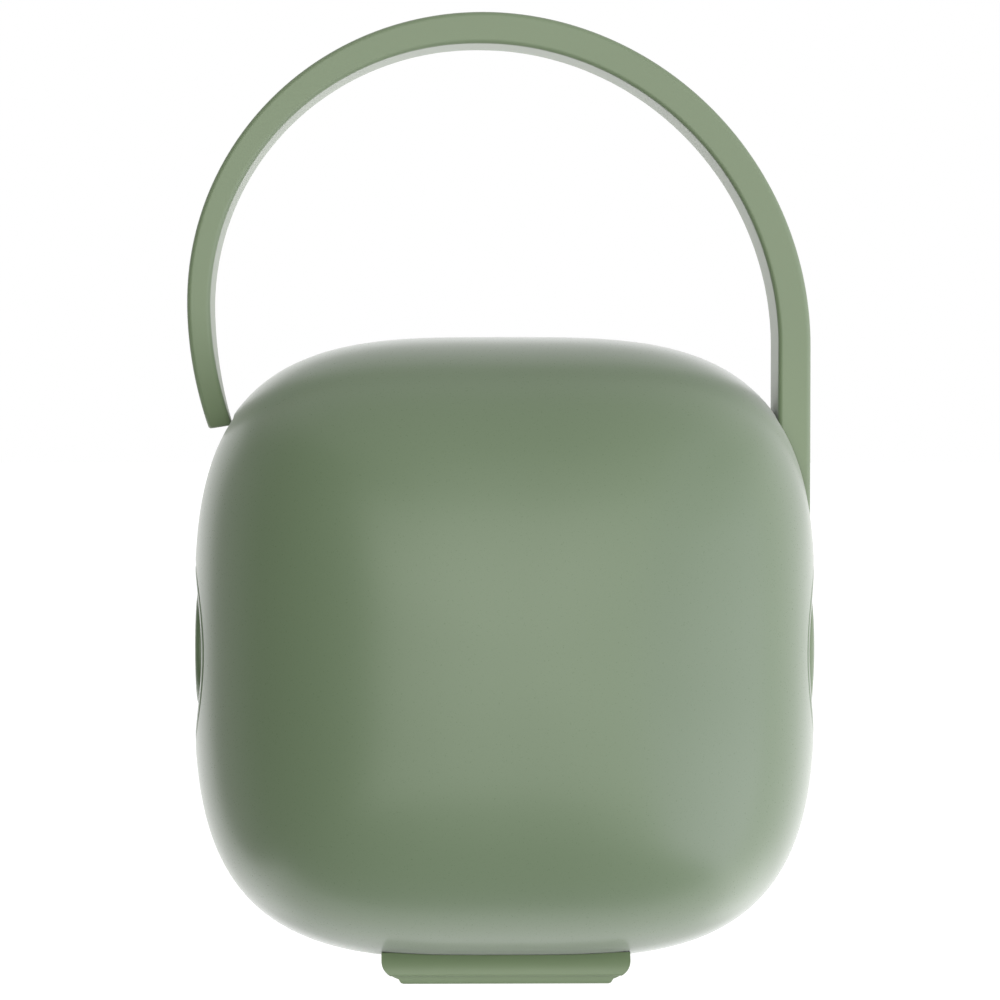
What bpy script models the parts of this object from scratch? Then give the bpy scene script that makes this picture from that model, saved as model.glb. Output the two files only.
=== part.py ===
"""A pacifier box: two moulded shells on a small hinge block, with a soft band handle.

The front looks along -Y, +X is to its right and +Z is up. The origin is the middle
of the hinge block's underside, where the box stands. The shells meet at the plane
y = 0. The lid (the front shell) turns forward and down on the pin in the block, and
the band turns on the stud at the right, back from its upright place.
"""
import math

import bmesh
import bpy

MM = 0.001

# Case: a rounded square seen from the front, domed towards the front and the rear
case_half_width = 37.575 * MM
case_half_height = 37.5 * MM
case_half_depth = 30.0 * MM
case_wall = 1.8 * MM
outline_power_share = 3.4
dome_power_share = 2.5
ring_points = 56
dome_steps = 10

# Gaps that the pieces keep
gap = 0.3 * MM
seam_gap = 0.3 * MM
overrun = 5.0 * MM

# Lip of the rear shell, which the lid closes over
lip_height = 1.8 * MM
lip_thickness = 0.9 * MM
lip_root = 1.9 * MM

# Hinge block under the case
block_height = 1.9 * MM
block_top = 4.0 * MM
block_half_width = 14.8 * MM
block_half_depth = 14.3 * MM
block_side_low = 2.9 * MM
block_corner_height = 1.35 * MM
block_face_low = 2.3 * MM
foot_height = 1.15 * MM
foot_half_width = 12.75 * MM
foot_half_depth = 12.8 * MM
foot_end_height = 0.6 * MM
foot_chamfer = 0.6 * MM
foot_lean = 0.35 * MM
hinge_height = 1.15 * MM
hinge_length = 25.0 * MM
knuckle_radius = 1.1 * MM
knuckle_count = 5
knuckle_flat = 0.5 * MM
pin_radius = 0.45 * MM
pin_end_gap = 0.4 * MM
leaf_bevel_angle = math.radians(30.0)
peg_radius = 0.8 * MM
peg_spread = 10.5 * MM
peg_depth_place = 3.6 * MM
peg_head_radius = 1.3 * MM
peg_head_thickness = 0.6 * MM

# Side dimples, ears and the channels that the band lies in
channel_depth = 5.075 * MM
ear_radius = 12.15 * MM
ear_rim = 0.95 * MM
plate_thickness = 1.7 * MM
frame_width = 1.0 * MM
ear_depth = 6.5 * MM
ear_sink = 0.05 * MM
rear_step_angle = math.radians(4.0)
shoulder_gap = 0.7 * MM

# Band handle
band_half_depth = 6.0 * MM
band_sink = 0.75 * MM
band_middle = -2.9 * MM
band_top = 115.9 * MM
band_right_height = 75.4 * MM
band_left_height = 81.4 * MM
band_left_sink = 2.35 * MM
band_right_power_share = 2.0
band_left_power_share = 2.02
band_root_thickness = 3.95 * MM
band_top_thickness = 3.5 * MM
band_tip_thickness = 2.8 * MM
band_tip_radius = 50.0 * MM
band_tip_angle = math.radians(18.2)
band_edge = 0.45 * MM
band_taper_length = 16.0 * MM
band_tip_half_depth = 1.6 * MM
band_quarter_steps = 22

# Studs at both sides
stud_sink = 0.5 * MM
stud_head_radius = 7.3 * MM
stud_head_thickness = 2.1 * MM
stud_edge = 0.7 * MM
stud_stem_radius = 4.5 * MM
stud_neck_radius = 3.0 * MM
stud_tail = 1.6 * MM
ring_outer_radius = 5.4 * MM
ring_thickness = 1.0 * MM

# Points round each kind of round piece, and steps along a rounded corner
turn_points = 32
ear_points = 48
stud_points = 40
knuckle_points = 24
pin_points = 20
peg_points = 16
corner_steps = 5
arc_steps = 24

# Places worked out from the sizes above
case_height = block_height + case_half_height
channel_floor = case_half_width - channel_depth
ear_root = channel_floor - ear_depth
band_outer = case_half_width - band_sink
band_left_reach = case_half_width - band_left_sink
stud_reach = case_half_width - stud_sink
dish_radius = ear_radius - ear_rim
channel_half_depth = band_half_depth + gap
plate_inner = channel_floor - plate_thickness
eye_radius = dish_radius - gap
band_inner = channel_floor + gap
band_tip_middle = band_middle - band_left_reach + band_tip_radius
band_right_reach = band_outer - band_middle
band_right_rise = band_top - band_right_height
band_left_rise = band_top - band_left_height

COLOURS = {
    "shell": (0.235, 0.305, 0.215, 1.0),
    "band": (0.260, 0.345, 0.205, 1.0),
    "steel": (0.550, 0.560, 0.570, 1.0),
    "inner": (0.300, 0.340, 0.270, 1.0),
}


def material(name, colour, roughness, metallic):
    made = bpy.data.materials.new(name)
    made.use_nodes = True
    shader = made.node_tree.nodes["Principled BSDF"]
    shader.inputs["Base Color"].default_value = COLOURS[colour]
    shader.inputs["Roughness"].default_value = roughness
    shader.inputs["Metallic"].default_value = metallic
    return made


def add_object(name, vertices, faces):
    """Make an object from points and faces, with its faces turned outward."""
    mesh = bpy.data.meshes.new(name)
    mesh.from_pydata(vertices, [], faces)
    work = bmesh.new()
    work.from_mesh(mesh)
    bmesh.ops.recalc_face_normals(work, faces=work.faces)
    bmesh.ops.triangulate(work, faces=work.faces)
    work.to_mesh(mesh)
    work.free()
    made = bpy.data.objects.new(name, mesh)
    bpy.context.scene.collection.objects.link(made)
    return made


def loft(name, rings, start=None, end=None):
    """Join rings of equal count into one closed skin, each end a fan to a point."""
    count = len(rings[0])
    vertices = [point for ring in rings for point in ring]
    faces = []
    for row in range(len(rings) - 1):
        for column in range(count):
            following = (column + 1) % count
            here = row * count
            above = here + count
            faces.append((here + column, here + following, above + following, above + column))
    for point, row in ((start, 0), (end, len(rings) - 1)):
        base = row * count
        if point is None:
            faces.append(tuple(range(base, base + count)))
            continue
        vertices.append(point)
        tip = len(vertices) - 1
        for column in range(count):
            faces.append((base + column, base + (column + 1) % count, tip))
    return add_object(name, vertices, faces)


def box(name, low, high):
    (x0, y0, z0), (x1, y1, z1) = low, high
    lower = [(x0, y0, z0), (x1, y0, z0), (x1, y1, z0), (x0, y1, z0)]
    upper = [(x, y, z1) for x, y, _ in lower]
    return loft(name, [lower, upper])


def disc_ring(x, radius, y=0.0, z=0.0, points=turn_points):
    """A circle of points round an axis along X."""
    count = round(points)
    ring = []
    for step in range(count):
        angle = 2 * math.pi * step / count
        ring.append((x, y + radius * math.sin(angle), z + radius * math.cos(angle)))
    return ring


def turned(name, profile, y=0.0, z=0.0, points=turn_points):
    """Turn a profile of (x, radius) pairs round an axis along X."""
    return loft(name, [disc_ring(x, radius, y, z, points) for x, radius in profile])


def rod(name, x0, x1, radius, y=0.0, z=0.0, points=turn_points):
    return turned(name, [(x0, radius), (x1, radius)], y, z, points)


def upright_peg(name, profile, x, y, points=peg_points):
    """Turn a profile of (z, radius) pairs round an upright axis."""
    count = round(points)
    rings = []
    for height, radius in profile:
        ring = []
        for step in range(count):
            angle = 2 * math.pi * step / count
            ring.append((x + radius * math.cos(angle), y + radius * math.sin(angle), height))
        rings.append(ring)
    return loft(name, rings)


def combine(target, tool, operation, solver="EXACT"):
    """Put a Boolean modifier on the target and turn its tool into a guide."""
    modifier = target.modifiers.new(operation.title() + " " + tool.name, "BOOLEAN")
    modifier.operation = operation
    modifier.solver = solver
    modifier.object = tool
    tool.hide_render = True
    tool.display_type = "WIRE"


def cut(target, tool, solver="EXACT"):
    combine(target, tool, "DIFFERENCE", solver)


def fuse(target, tool, solver="EXACT"):
    combine(target, tool, "UNION", solver)


def trim(target, tool, solver="EXACT"):
    combine(target, tool, "INTERSECT", solver)


def finish(made, look, smooth_angle=35.0):
    made.data.materials.clear()
    made.data.materials.append(look)
    made.data.shade_smooth()
    made.data.set_sharp_from_angle(angle=math.radians(smooth_angle))


def case_ring(y, inset):
    """One level of the case's skin, moved in by inset, at depth y."""
    half_depth = case_half_depth - inset
    share = (1.0 - min(1.0, abs(y) / half_depth) ** dome_power_share) ** (1.0 / dome_power_share)
    half_width = (case_half_width - inset) * share
    half_height = (case_half_height - inset) * share
    power = 2.0 / outline_power_share
    ring = []
    for step in range(ring_points):
        angle = 2 * math.pi * step / ring_points
        across = math.cos(angle)
        up = math.sin(angle)
        x = half_width * math.copysign(abs(across) ** power, across)
        z = case_height + half_height * math.copysign(abs(up) ** power, up)
        ring.append((x, y, z))
    return ring


def flat_ring(y, inset):
    """The case's widest outline, moved in by inset and put at depth y."""
    return [(x, y, z) for x, _, z in case_ring(0.0, inset)]


def case_floor(x, y, inset):
    """The height of the case's underside, moved in by inset, below a point (x, y)."""
    depth_share = abs(y) / (case_half_depth - inset)
    level = (1.0 - depth_share ** dome_power_share) ** (outline_power_share / dome_power_share)
    width_share = abs(x) / (case_half_width - inset)
    drop_share = (level - width_share ** outline_power_share) ** (1.0 / outline_power_share)
    return case_height - (case_half_height - inset) * drop_share


def dome_rings(inset, side, seam):
    """The rings of one dome from near its pole to the plane |y| = seam."""
    half_depth = case_half_depth - inset
    power = 2.0 / dome_power_share
    rings = []
    for step in range(1, dome_steps):
        angle = math.pi / 2 * step / dome_steps
        rings.append(case_ring(side * half_depth * math.cos(angle) ** power, inset))
    rings.append(case_ring(side * seam, inset))
    return rings


def pole(inset, side):
    return (0.0, side * (case_half_depth - inset), case_height)


def full_case(name, inset):
    """The whole case's form, moved in by inset, as one solid guide."""
    front = dome_rings(inset, -1.0, 0.0)
    rear = dome_rings(inset, 1.0, 0.0)
    rear.pop()
    return loft(name, front + rear[::-1], pole(inset, -1.0), pole(inset, 1.0))


def arc(radius, first, last, steps=arc_steps):
    """Points (y, z) on a circle round the stud's axis, from one angle to another."""
    points = []
    for step in range(steps + 1):
        angle = first + (last - first) * step / steps
        points.append((radius * math.cos(angle), case_height + radius * math.sin(angle)))
    return points


def side_prism(name, side, start, end, outline):
    """A solid that runs sideways from start to end with an outline of (y, z) points."""
    near = [(side * start, y, z) for y, z in outline]
    far = [(side * end, y, z) for y, z in outline]
    return loft(name, [near, far])


def side_box(name, side, start, end, y_low, y_high, z_low, z_high):
    outline = [(y_low, z_low), (y_high, z_low), (y_high, z_high), (y_low, z_high)]
    return side_prism(name, side, start, end, outline)


def side_room_outline(front_radius, rear_radius, front_edge, low_edge):
    """The outline of the band's room seen from the side.

    It goes down the front of the channel, round the dimple and back along the lower
    edge of the room that the band needs when it turns to the rear.
    """
    top = case_height + case_half_height + overrun
    back = case_half_depth + overrun
    first = math.pi - math.asin(math.sqrt(1.0 - (front_edge / front_radius) ** 2))
    outline = [(-front_edge, top)]
    outline += arc(front_radius, first, 3 * math.pi / 2)
    outline += arc(rear_radius, 3 * math.pi / 2 + rear_step_angle,
                   2 * math.pi - math.asin(low_edge / rear_radius), arc_steps // 2)
    outline += [(back, case_height - low_edge), (back, top)]
    return outline


def cavity_tool(name, rings, start, end, rooms):
    """The hollow of a shell as a guide, less the solid places at its sides."""
    hollow = loft(name, rings, start, end)
    for room in rooms:
        cut(hollow, room)
    return hollow


def front_shell(look):
    half_seam = seam_gap / 2
    shell = loft("front_shell", dome_rings(0.0, -1.0, half_seam), pole(0.0, -1.0))
    outside = case_half_width + overrun
    top = case_height + case_half_height + overrun
    hollow_rings = dome_rings(case_wall, -1.0, 0.0)
    hollow_rings.append(flat_ring(overrun, case_wall))
    rim = ear_radius + gap
    edge = channel_half_depth + frame_width
    rooms = []
    for side, word in ((1.0, "right"), (-1.0, "left")):
        outline = side_room_outline(rim + frame_width, rim + frame_width, edge, edge)
        rooms.append(side_prism("front_frame_" + word, side, channel_floor + gap,
                                outside + overrun, outline))
    hollow = cavity_tool("front_hollow", hollow_rings, pole(case_wall, -1.0), None, rooms)
    cut(shell, hollow, "MANIFOLD")
    for side, word in ((1.0, "right"), (-1.0, "left")):
        cut(shell, rod("front_ear_cut_" + word, side * (plate_inner - overrun), side * outside,
                       rim, 0.0, case_height, ear_points))
        cut(shell, side_box("front_channel_cut_" + word, side, channel_floor, outside,
                            -channel_half_depth, overrun, case_height + dish_radius / 2, top))
    cut_for_hinge(shell, -1.0)
    finish(shell, look)
    return shell


def rear_shell(look):
    half_seam = seam_gap / 2
    shell = loft("rear_shell", dome_rings(0.0, 1.0, half_seam), pole(0.0, 1.0))
    outside = case_half_width + overrun
    top = case_height + case_half_height + overrun
    lip_outer = case_wall + gap
    lip_inner = lip_outer + lip_thickness
    lip = loft("rear_lip", [flat_ring(-lip_height, lip_outer), flat_ring(lip_root, lip_outer)])
    for side, word in ((1.0, "right"), (-1.0, "left")):
        cut(lip, rod("rear_lip_break_" + word, side * (plate_inner - ear_rim), side * outside,
                     ear_radius + frame_width + 2 * gap, 0.0, case_height, ear_points))
    fuse(shell, lip)
    rooms = []
    for side, word in ((1.0, "right"), (-1.0, "left")):
        ear = rod("rear_ear_" + word, side * ear_root, side * outside, ear_radius,
                  0.0, case_height, ear_points)
        trim(ear, full_case("rear_ear_skin_" + word, ear_sink))
        cut(ear, side_box("rear_ear_back_" + word, side, 0.0, outside + overrun, 2 * lip_root,
                          case_half_depth, 0.0, top))
        fuse(shell, ear, "MANIFOLD")
        plate = side_box("rear_plate_" + word, side, ear_root + ear_rim, channel_floor - ear_sink,
                         -(channel_half_depth + frame_width), lip_root / 2,
                         case_height + dish_radius / 2, top)
        trim(plate, full_case("rear_plate_skin_" + word, case_wall + shoulder_gap))
        fuse(shell, plate, "MANIFOLD")
        outline = side_room_outline(ear_radius + ear_sink, ear_radius + gap + frame_width,
                                    channel_half_depth + frame_width + ear_sink,
                                    channel_half_depth + plate_thickness)
        rooms.append(side_prism("rear_frame_" + word, side, plate_inner, outside + overrun, outline))
    hollow_rings = [flat_ring(-(ear_radius + overrun), lip_inner), flat_ring(lip_root / 2, lip_inner)]
    hollow_rings += dome_rings(case_wall, 1.0, lip_root)[::-1]
    cut(shell, cavity_tool("rear_hollow", hollow_rings, None, pole(case_wall, 1.0), rooms), "MANIFOLD")
    for side, word in ((1.0, "right"), (-1.0, "left")):
        outline = side_room_outline(dish_radius, dish_radius, channel_half_depth, channel_half_depth)
        room = side_prism("rear_room_" + word, side, channel_floor, outside + overrun, outline)
        cut(shell, room, "MANIFOLD")
        hole = rod("rear_stud_hole_" + word, side * (plate_inner - overrun),
                   side * (channel_floor + overrun), stud_neck_radius + gap, 0.0, case_height)
        cut(shell, hole, "MANIFOLD")
    cut_for_hinge(shell, 1.0)
    finish(shell, look)
    return shell


def cut_for_hinge(shell, side):
    """The groove over the knuckles and the two peg holes in a shell's floor."""
    word = "front" if side < 0 else "rear"
    half = hinge_length / 2 + gap
    groove = rod(word + "_knuckle_groove", -half, half, knuckle_radius + gap,
                 0.0, hinge_height, knuckle_points)
    cut(shell, groove, "MANIFOLD")
    for place, end in ((-peg_spread, "left"), (peg_spread, "right")):
        profile = [(0.0, peg_radius + gap), (block_height + case_wall + overrun, peg_radius + gap)]
        hole = upright_peg(word + "_peg_hole_" + end, profile, place, side * peg_depth_place)
        cut(shell, hole, "MANIFOLD")


def bend(start, corner, end):
    """Points on the curve that leaves start towards the corner and arrives at end from it."""
    points = []
    for step in range(corner_steps + 1):
        share = step / corner_steps
        lead = (1.0 - share) ** 2
        turn = 2.0 * share * (1.0 - share)
        points.append(tuple(lead * a + turn * b + share ** 2 * c for a, b, c in zip(start, corner, end)))
    return points


def block_outline(y):
    """The block's outline seen from the front: round shoulders and a narrower foot."""
    points = [(block_half_width, block_top + case_wall)]
    points += bend((block_half_width, block_side_low), (block_half_width, block_corner_height),
                   (foot_half_width, foot_end_height))
    points.append((foot_half_width - foot_chamfer, 0.0))
    left = [(-x, z) for x, z in points[::-1]]
    return [(x, y, z) for x, z in points + left]


def leaf_profile(x, side):
    """A leaf's outline seen from the side: its round face, its foot and the bevel under the pin."""
    near = seam_gap / 2
    low = -foot_chamfer / 2
    bevel_end = near + (hinge_height - low) / math.tan(leaf_bevel_angle)
    outline = [(near, block_top), (block_half_depth, block_top)]
    outline += bend((block_half_depth, block_face_low), (block_half_depth, foot_height),
                    (foot_half_depth + foot_lean, foot_height))
    outline += [
        (foot_half_depth, foot_height),
        (foot_half_depth - foot_lean, low),
        (bevel_end, low),
        (near, hinge_height),
    ]
    return [(x, side * y, z) for y, z in outline]


def hinge_leaf(name, side, own_knuckles, look):
    """One half of the block: its stepped face, its knuckles and its two pegs."""
    outside = block_half_width + overrun
    body = loft(name, [leaf_profile(-outside, side), leaf_profile(outside, side)])
    trim(body, loft(name + "_outline", [block_outline(-overrun - block_half_depth),
                                        block_outline(overrun + block_half_depth)]))
    cut(body, full_case(name + "_case_room", -gap))
    pitch = (hinge_length + gap) / knuckle_count
    room_radius = math.hypot(knuckle_flat, hinge_height) + gap
    for index in range(knuckle_count):
        low = index * pitch - hinge_length / 2
        high = low + pitch - gap
        word = str(index)
        if index not in own_knuckles:
            cut(body, rod(name + "_room_" + word, low - gap, high + gap, room_radius,
                          0.0, hinge_height, knuckle_points))
            continue
        knuckle = rod(name + "_knuckle_" + word, low, high, knuckle_radius,
                      0.0, hinge_height, knuckle_points)
        if side > 0:
            fuse(knuckle, box(name + "_flat_" + word, (low, -knuckle_flat, 0.0),
                              (high, knuckle_flat, hinge_height)), "MANIFOLD")
        fuse(body, knuckle)
    cut(body, rod(name + "_bore", -outside, outside, pin_radius + gap,
                  0.0, hinge_height, pin_points))
    head = gap + case_floor(peg_spread + peg_head_radius, peg_depth_place + peg_head_radius, case_wall)
    peg_profile = [
        (foot_height, peg_radius),
        (head, peg_radius),
        (head, peg_head_radius),
        (head + peg_head_thickness, peg_head_radius),
    ]
    for place, end in ((-peg_spread, "left"), (peg_spread, "right")):
        fuse(body, upright_peg(name + "_peg_" + end, peg_profile, place, side * peg_depth_place))
    finish(body, look)
    return body


def hinge_pin(look):
    half = hinge_length / 2 - pin_end_gap
    pin = rod("hinge_pin", -half, half, pin_radius, 0.0, hinge_height, pin_points)
    finish(pin, look)
    return pin


def band_path():
    """Points, outward directions and thicknesses down the band's outer face."""
    stations = []
    straight_steps = 6
    for step in range(straight_steps):
        share = step / straight_steps
        height = case_height + (band_right_height - case_height) * share
        stations.append(((band_outer, height), (1.0, 0.0), band_root_thickness))
    quarters = (
        (band_middle, band_right_height, band_right_reach, band_right_rise, band_right_power_share,
         0.0, band_root_thickness, band_top_thickness),
        (band_middle, band_left_height, band_left_reach, band_left_rise, band_left_power_share,
         math.pi / 2, band_top_thickness, band_tip_thickness),
    )
    for middle, base, reach, rise, power, first, thick_start, thick_end in quarters:
        for step in range(band_quarter_steps):
            share = step / band_quarter_steps
            angle = first + math.pi / 2 * share
            across = math.cos(angle)
            up = math.sin(angle)
            x = middle + reach * math.copysign(abs(across) ** (2.0 / power), across)
            z = base + rise * abs(up) ** (2.0 / power)
            slope_x = math.copysign(abs(across) ** (2.0 - 2.0 / power), across) / reach
            slope_z = abs(up) ** (2.0 - 2.0 / power) / rise
            length = math.hypot(slope_x, slope_z)
            thickness = thick_start + (thick_end - thick_start) * share
            stations.append(((x, z), (slope_x / length, slope_z / length), thickness))
    tip_steps = 8
    for step in range(tip_steps + 1):
        angle = band_tip_angle * step / tip_steps
        direction = (-math.cos(angle), -math.sin(angle))
        x = band_tip_middle + band_tip_radius * direction[0]
        z = band_left_height + band_tip_radius * direction[1]
        stations.append(((x, z), direction, band_tip_thickness))
    return stations


def band_ring(point, direction, thickness, half_depth, edge):
    """The band's section at one station: a flat bar with its four long edges broken."""
    section = [
        (0.0, half_depth - edge),
        (0.0, -half_depth + edge),
        (-edge, -half_depth),
        (-thickness + edge, -half_depth),
        (-thickness, -half_depth + edge),
        (-thickness, half_depth - edge),
        (-thickness + edge, half_depth),
        (-edge, half_depth),
    ]
    ring = []
    for out, y in section:
        ring.append((point[0] + direction[0] * out, y, point[1] + direction[1] * out))
    return ring


def handle_strap(look):
    stations = band_path()
    lengths = [0.0]
    for (before, _, _), (after, _, _) in zip(stations, stations[1:]):
        lengths.append(lengths[-1] + math.dist(before, after))
    total = lengths[-1]
    rings = []
    for (point, direction, thickness), length in zip(stations, lengths):
        share = min(1.0, (total - length) / band_taper_length)
        swell = math.sin(math.pi / 2 * share)
        half_depth = band_tip_half_depth + (band_half_depth - band_tip_half_depth) * swell
        rings.append(band_ring(point, direction, thickness, half_depth, band_edge))
    band = loft("handle_strap", rings)
    eye = rod("strap_eye", band_inner, band_outer, eye_radius, 0.0, case_height, ear_points)
    fuse(band, eye)
    seat = stud_reach - stud_head_thickness - gap
    cut(band, rod("strap_head_room", seat, band_outer + overrun, stud_head_radius + gap,
                  0.0, case_height, stud_points))
    cut(band, rod("strap_eye_hole", band_inner - overrun, band_outer + overrun,
                  stud_stem_radius + gap, 0.0, case_height, stud_points))
    finish(band, look)
    return band


def side_button(name, side, look):
    """A stud: its round head, the stem that the eye turns on and the neck in the plate."""
    under_head = stud_reach - stud_head_thickness
    shoulder = channel_floor + gap
    tail = plate_inner - gap - ring_thickness - stud_tail / 2
    profile = []
    edge_steps = 4
    for step in range(edge_steps + 1):
        angle = math.pi / 2 * step / edge_steps
        x = stud_reach - stud_edge * (1.0 - math.cos(angle))
        profile.append((x, stud_head_radius - stud_edge * (1.0 - math.sin(angle))))
    profile += [
        (under_head, stud_head_radius),
        (under_head, stud_stem_radius),
        (shoulder, stud_stem_radius),
        (shoulder, stud_neck_radius),
        (tail, stud_neck_radius),
    ]
    stud = turned(name, [(side * x, radius) for x, radius in profile], 0.0, case_height, stud_points)
    finish(stud, look)
    return stud


def button_ring(name, side, look):
    near = plate_inner - gap
    far = near - ring_thickness
    ring = rod(name, side * far, side * near, ring_outer_radius, 0.0, case_height)
    cut(ring, rod(name + "_bore", side * (far - overrun), side * (near + overrun),
                  stud_neck_radius + gap, 0.0, case_height))
    finish(ring, look)
    return ring


def hang_on(name, place, pieces):
    """An empty on a joint's axis that carries the pieces that move with it."""
    axis = bpy.data.objects.new(name, None)
    axis.location = place
    bpy.context.scene.collection.objects.link(axis)
    for piece in pieces:
        piece.parent = axis
        piece.location = [-length for length in place]


def main():
    for old in list(bpy.data.objects):
        bpy.data.objects.remove(old, do_unlink=True)
    shell_look = material("sage_shell", "shell", 0.42, 0.0)
    band_look = material("soft_band", "band", 0.55, 0.0)
    steel_look = material("steel", "steel", 0.3, 1.0)
    inner_look = material("inner_ring", "inner", 0.5, 0.0)

    lid = front_shell(shell_look)
    rear_shell(shell_look.copy())
    front_knuckles = range(1, knuckle_count, 2)
    rear_knuckles = range(0, knuckle_count, 2)
    front_leaf = hinge_leaf("front_hinge_leaf", -1.0, front_knuckles, band_look.copy())
    hinge_leaf("rear_hinge_leaf", 1.0, rear_knuckles, band_look.copy())
    hinge_pin(steel_look)
    strap = handle_strap(band_look)
    side_button("right_button", 1.0, shell_look.copy())
    side_button("left_button", -1.0, shell_look.copy())
    button_ring("right_button_ring", 1.0, inner_look)
    button_ring("left_button_ring", -1.0, inner_look.copy())

    hang_on("lid_axis", (0.0, 0.0, hinge_height), (lid, front_leaf))
    hang_on("strap_axis", (0.0, 0.0, case_height), (strap,))


main()
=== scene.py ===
# %% [markdown]
# # A pacifier box with a band handle
# The box is two moulded shells on a small hinge block. A soft band is held by a stud
# at its right side and curls over to the left shoulder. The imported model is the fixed
# frame, and each piece made here stands where one of its solids stands.

# %%
# Load the frame
import math

import bmesh
import bpy
import numpy as np
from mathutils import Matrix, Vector


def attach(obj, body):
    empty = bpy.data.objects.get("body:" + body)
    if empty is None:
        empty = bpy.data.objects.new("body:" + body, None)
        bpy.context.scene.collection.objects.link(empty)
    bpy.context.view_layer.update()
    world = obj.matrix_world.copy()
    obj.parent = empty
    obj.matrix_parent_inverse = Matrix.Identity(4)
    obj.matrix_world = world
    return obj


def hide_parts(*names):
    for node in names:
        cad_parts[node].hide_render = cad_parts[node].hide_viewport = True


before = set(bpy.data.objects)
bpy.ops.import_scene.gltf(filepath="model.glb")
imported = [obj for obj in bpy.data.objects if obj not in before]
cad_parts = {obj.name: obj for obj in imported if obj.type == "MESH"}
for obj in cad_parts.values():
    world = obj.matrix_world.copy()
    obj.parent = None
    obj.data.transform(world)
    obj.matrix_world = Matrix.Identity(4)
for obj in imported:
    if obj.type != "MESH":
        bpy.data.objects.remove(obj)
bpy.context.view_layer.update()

MM = 0.001

# %% [markdown]
# The camera comes first, because every later choice is judged through it. It stands
# half a metre in front of the box, a little to the left and a little above its middle,
# and looks slightly down. A long lens keeps the box's sides nearly parallel, as in a
# product photograph. The camera is turned towards its target instead of shifted, so
# the other views stay centred.

# %%
# Camera
camera_place = Vector((-9.0, -500.0, 75.3)) * MM
camera_target = Vector((-0.5, 0.0, 57.14)) * MM
camera_data = bpy.data.cameras.new("camera")
camera_data.lens = 148.45
camera_data.sensor_width = 36.0
camera_data.clip_start = 10 * MM
camera_data.clip_end = 50.0
camera = bpy.data.objects.new("camera", camera_data)
camera.location = camera_place
camera.rotation_euler = (camera_target - camera_place).to_track_quat("-Z", "Y").to_euler()
bpy.context.scene.collection.objects.link(camera)
bpy.context.scene.camera = camera
print("camera distance", round((camera_target - camera_place).length, 3), "m")

# %% [markdown]
# The sizes are those of the solids, so that each new surface lies on the solid that it
# stands for. The case is a rounded square from the front, whose sides follow a power
# curve, and it domes towards the front and the rear along another power curve. It is a
# touch wider than high, which is the stretch. Lengths are written in millimetres and
# turned into metres by MM.

# %%
# Sizes
case_half = 37.5 * MM
case_stretch = 37.56 / 37.5
case_half_depth = 30.0 * MM
case_height = 39.4 * MM
case_wall = 1.8 * MM
outline_power = 3.4
dome_power = 2.5
pole_angle = math.radians(2.0)
seam = 0.15 * MM
gap = 0.3 * MM
overlap = 0.05 * MM
overrun = 5.0 * MM
outside = case_stretch * case_half + overrun
print("case", round(2 * case_stretch * case_half / MM, 1), "by", round(2 * case_half_depth / MM, 1), "mm")

# %%
# Sizes at the sides
SIDES = ((1.0, "right"), (-1.0, "left"))
channel_floor = 32.5 * MM
channel_half = 6.3 * MM
plate_inner = 30.8 * MM
dish_radius = 11.2 * MM
ear_radius = 12.15 * MM
ear_root = 26.0 * MM
frame_width = 1.0 * MM
plate_inset = 0.7 * MM
stud_hole = 3.3 * MM
lip_height = 1.8 * MM
lip_thickness = 0.9 * MM
lip_root = 1.9 * MM
lip_break_reach = 29.85 * MM
lip_break_radius = 13.75 * MM
print("channel floor", round(channel_floor / MM, 1), "mm out, dish", round(2 * dish_radius / MM, 1), "mm")

# %%
# Sizes of the hinge's seat
block_height = 1.9 * MM
hinge_height = 1.15 * MM
hinge_length = 25.0 * MM
knuckle_radius = 1.1 * MM
peg_spread = 10.5 * MM
peg_place = 3.6 * MM
peg_hole = 1.1 * MM
soft_edge = 0.3 * MM
print("hinge", round(hinge_length / MM, 1), "mm long")

# %% [markdown]
# Every new surface is a grid of points. Rows follow one parameter and columns go round
# the piece. Blender's own shapes with modifiers could be the start as well, but a grid
# from a formula puts each point exactly where the solid has it. The helper below joins
# each point with its neighbours by index arithmetic on whole arrays, closes both ends
# with a fan of triangles, and turns the faces outwards if the volume comes out negative.

# %%
# Grid helper
def skin(name, points, ring=False, ends=(None, None)):
    """Join a grid of points (rows, columns, 3) into one closed mesh.

    Each face takes a point, its neighbour in the column after, and the same two in the
    next row. With ring the last row joins the first, and otherwise each end is a fan
    to the given point, or to the mean of its row.
    """
    rows, columns = points.shape[:2]
    order = np.arange(rows * columns).reshape(rows, columns)
    if ring:
        order = np.vstack([order, order[:1]])
    turned = np.roll(order, -1, axis=1)
    faces = np.stack([order[:-1], turned[:-1], turned[1:], order[1:]], axis=-1).reshape(-1, 4).tolist()
    vertices = points.reshape(-1, 3)
    if not ring:
        for place, point in ((0, ends[0]), (-1, ends[1])):
            centre = points[place].mean(axis=0) if point is None else np.array(point)
            tip = np.full(columns, len(vertices))
            faces += np.stack([order[place], turned[place], tip], axis=-1).tolist()
            vertices = np.vstack([vertices, centre])
    mesh = bpy.data.meshes.new(name)
    mesh.from_pydata(vertices, [], faces)
    work = bmesh.new()
    work.from_mesh(mesh)
    bmesh.ops.recalc_face_normals(work, faces=work.faces)
    if work.calc_volume(signed=True) < 0.0:
        bmesh.ops.reverse_faces(work, faces=work.faces)
    work.to_mesh(mesh)
    work.free()
    made = bpy.data.objects.new(name, mesh)
    bpy.context.scene.collection.objects.link(made)
    return made


print("grid helper ready")

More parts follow.
